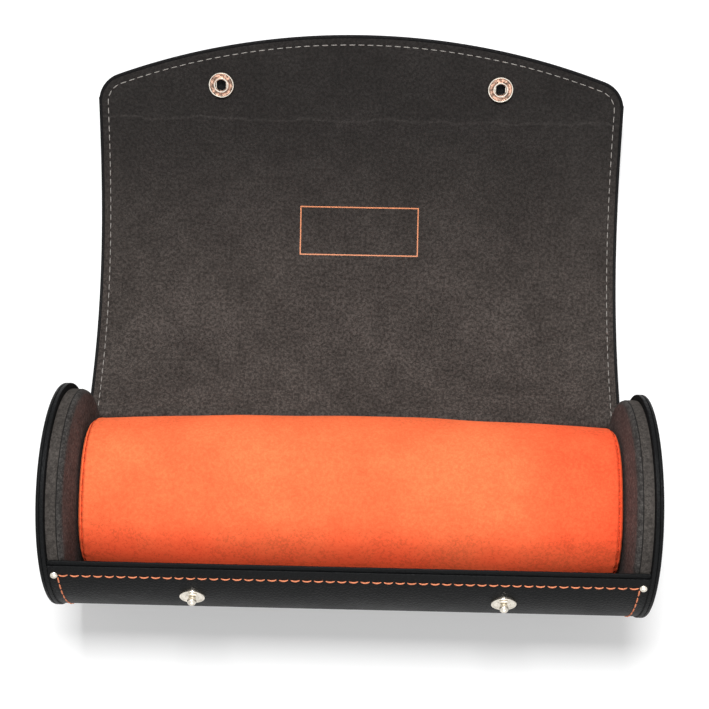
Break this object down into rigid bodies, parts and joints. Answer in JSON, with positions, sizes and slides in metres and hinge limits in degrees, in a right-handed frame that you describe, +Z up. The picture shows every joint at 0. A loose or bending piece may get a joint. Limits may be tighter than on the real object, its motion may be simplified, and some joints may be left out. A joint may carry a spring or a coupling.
{
  "type": "watch travel case",
  "caption": "Round leather roll with padded end discs, a flap that wraps over the top and snaps to the front, and a long suede cushion that carries the watches.",
  "frame": {"origin": "on the table under the middle of the open case", "axes": "+X along the case to the right, -Y towards the front with the studs, +Y towards the open flap, +Z up"},
  "size_m": [0.24, 0.2472, 0.0912],
  "materials": {
    "leather_black": "smooth, semi-gloss",
    "suede_grey": "brushed microfibre suede, matte",
    "suede_orange": "brushed microfibre suede, matte",
    "board": "plain pressed board",
    "foam": "open-cell foam",
    "nickel": "polished",
    "thread_orange": "waxed polyester thread",
    "thread_grey": "polyester thread",
    "foil_orange": "pressed foil line"
  },
  "bodies": {
    "tray": {"tray_leather": "leather_black", "tray_board": "board", "tray_lining": "suede_grey", "front_lip_facing": "leather_black", "left_disc_board": "board", "left_disc_cover": "leather_black", "left_plug_core": "board", "left_plug_pad": "foam", "left_plug_band": "suede_grey", "left_plug_face": "suede_grey", "right_disc_board": "board", "right_disc_cover": "leather_black", "right_plug_core": "board", "right_plug_pad": "foam", "right_plug_band": "suede_grey", "right_plug_face": "suede_grey", "snap_stud_plates": "nickel", "snap_posts": "nickel", "corner_rivets": "nickel"},
    "flap_1": {"flap_leather_1": "leather_black", "flap_lining_1": "suede_grey"},
    "flap_2": {"flap_leather_2": "leather_black", "flap_lining_2": "suede_grey"},
    "flap_3": {"flap_leather_3": "leather_black", "flap_lining_3": "suede_grey"},
    "flap_4": {"flap_leather_4": "leather_black", "flap_lining_4": "suede_grey"},
    "flap_5": {"flap_leather_5": "leather_black", "flap_lining_5": "suede_grey"},
    "flap_6": {"flap_leather_6": "leather_black", "flap_lining_6": "suede_grey"},
    "flap_7": {"flap_leather_7": "leather_black", "flap_lining_7": "suede_grey"},
    "snap_tab": {"flap_leather_8": "leather_black", "flap_lining_8": "suede_grey", "snap_sockets": "nickel", "snap_springs": "nickel", "snap_caps": "nickel"},
    "flap_tail": {"flap_leather_9": "leather_black", "flap_lining_9": "suede_grey"},
    "cushion": {"cushion_foam": "foam", "cushion_sleeve": "suede_orange", "cushion_end_panels": "suede_orange"}
  },
  "joints": [
    {"name": "flap_hinge", "type": "hinge", "parent": "tray", "child": "flap_1", "pos_m": [0, -0.04356, 0.01649], "axis": [1, 0, 0], "range_deg": [0, 81.61]},
    {"name": "flap_fold_2", "type": "hinge", "parent": "flap_1", "child": "flap_2", "pos_m": [0, -0.02444, 0.00963], "axis": [1, 0, 0], "range_deg": [0, 22.25]},
    {"name": "flap_fold_3", "type": "hinge", "parent": "flap_2", "child": "flap_3", "pos_m": [0, -0.00485, 0.00429], "axis": [1, 0, 0], "range_deg": [0, 18.35]},
    {"name": "flap_fold_4", "type": "hinge", "parent": "flap_3", "child": "flap_4", "pos_m": [0, 0.01533, 0.00209], "axis": [1, 0, 0], "range_deg": [0, 16.56]},
    {"name": "flap_fold_5", "type": "hinge", "parent": "flap_4", "child": "flap_5", "pos_m": [0, 0.0356, 0.00306], "axis": [1, 0, 0], "range_deg": [0, 15.2]},
    {"name": "flap_fold_6", "type": "hinge", "parent": "flap_5", "child": "flap_6", "pos_m": [0, 0.05554, 0.00688], "axis": [1, 0, 0], "range_deg": [0, 15.27]},
    {"name": "flap_fold_7", "type": "hinge", "parent": "flap_6", "child": "flap_7", "pos_m": [0, 0.07489, 0.01302], "axis": [1, 0, 0], "range_deg": [0, 20]},
    {"name": "snap_tab_fold", "type": "hinge", "parent": "flap_7", "child": "snap_tab", "pos_m": [0, 0.09362, 0.02085], "axis": [1, 0, 0], "range_deg": [0, 25.94]},
    {"name": "tail_fold", "type": "hinge", "parent": "snap_tab", "child": "flap_tail", "pos_m": [0, 0.11188, 0.02972], "axis": [1, 0, 0], "range_deg": [0, 18.95]},
    {"name": "cushion_slide", "type": "slide", "parent": "tray", "child": "cushion", "axis": [0, 0.7114, 0.7028], "range_m": [0, 0.011]}
  ],
  "couplings": [
    {"joint": "flap_fold_2", "follows": "flap_hinge", "ratio": 0.27204},
    {"joint": "flap_fold_3", "follows": "flap_hinge", "ratio": 0.22424},
    {"joint": "flap_fold_4", "follows": "flap_hinge", "ratio": 0.20234},
    {"joint": "flap_fold_5", "follows": "flap_hinge", "ratio": 0.18563},
    {"joint": "flap_fold_6", "follows": "flap_hinge", "ratio": 0.18651},
    {"joint": "flap_fold_7", "follows": "flap_hinge", "ratio": 0.2445},
    {"joint": "tail_fold", "follows": "snap_tab_fold", "ratio": 0.72853}
  ]
}
